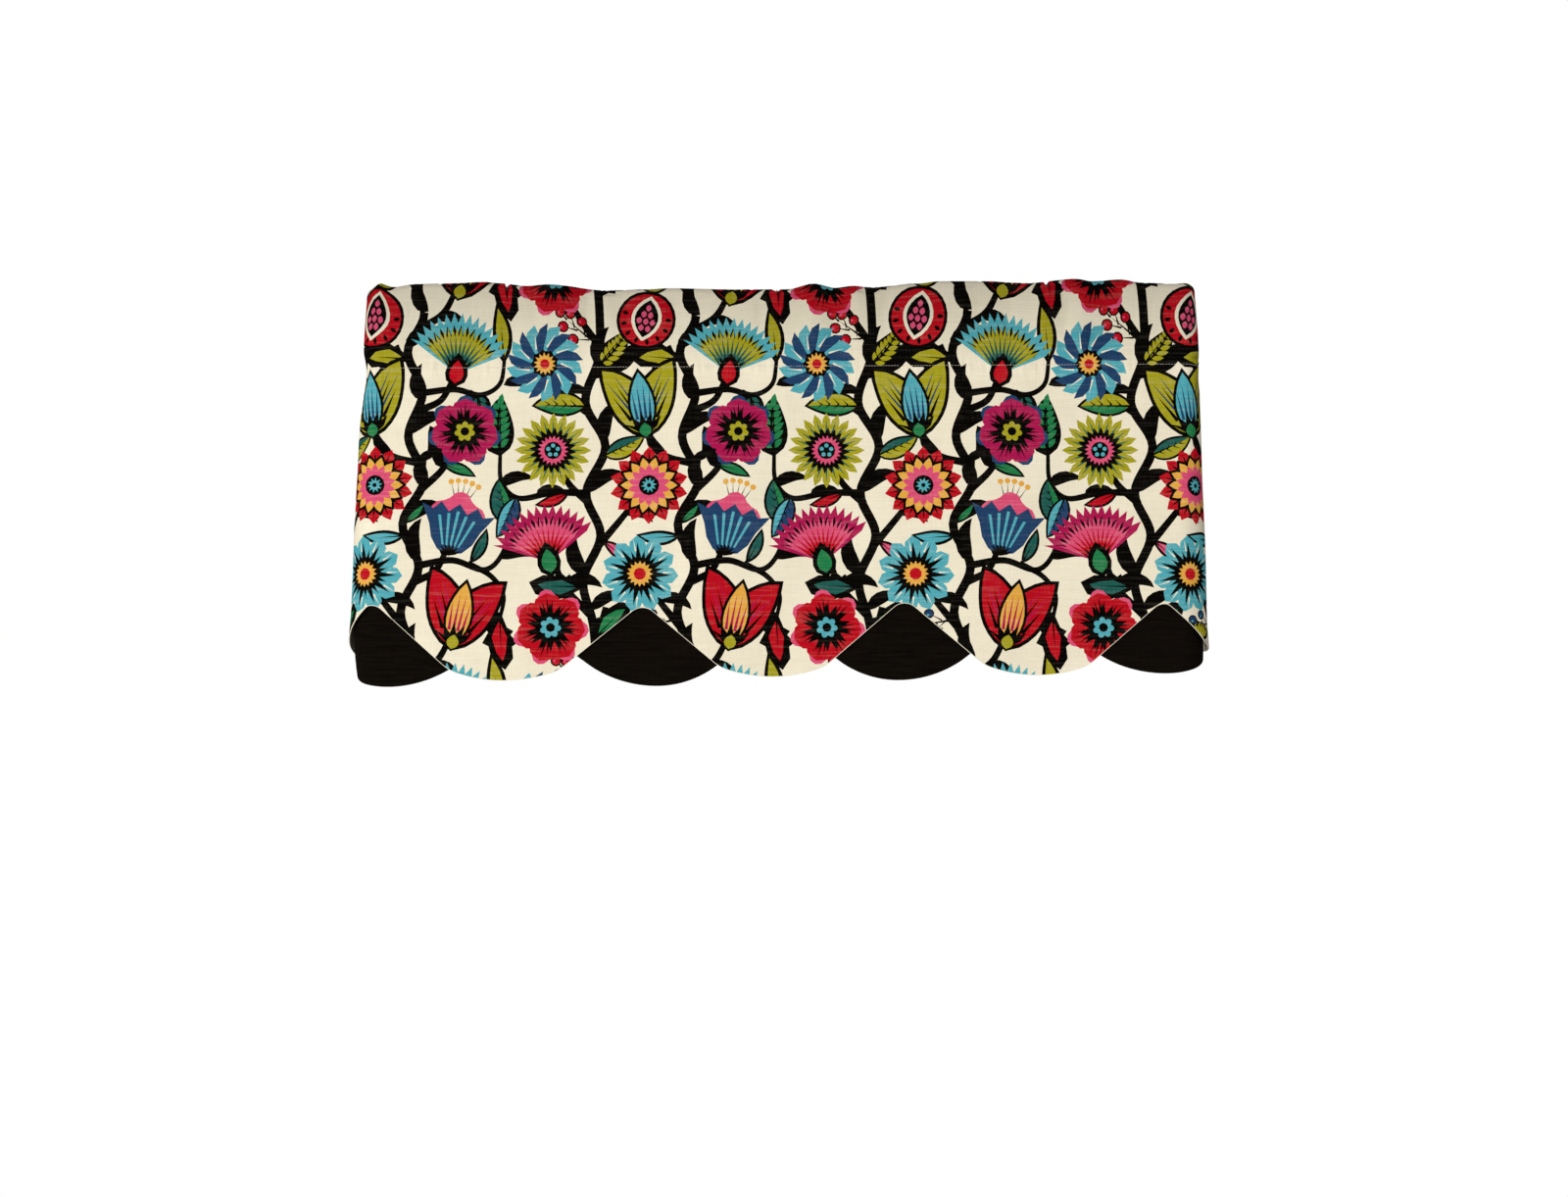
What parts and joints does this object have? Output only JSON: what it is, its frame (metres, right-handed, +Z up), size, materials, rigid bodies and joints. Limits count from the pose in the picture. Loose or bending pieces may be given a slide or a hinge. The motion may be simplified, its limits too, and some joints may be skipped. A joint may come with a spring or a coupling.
{
  "type": "window valance",
  "caption": "Scalloped rod-pocket window valance: a printed floral layer over a plain black layer whose scallops fill its cut-outs, with turned-back ends.",
  "frame": {"origin": "middle of the rod pocket's top edge, at the middle of the front", "axes": "+X along the window to the right as seen from the room, +Y back to the wall, +Z up"},
  "size_m": [0.9208, 0.1209, 0.4411],
  "materials": {
    "printed_cloth": "matt slubbed cotton with a bold floral print on cream",
    "black_cloth": "matt plain-woven black cotton"
  },
  "bodies": {
    "root": {"printed_layer": "printed_cloth", "black_layer": "black_cloth"}
  },
  "joints": []
}
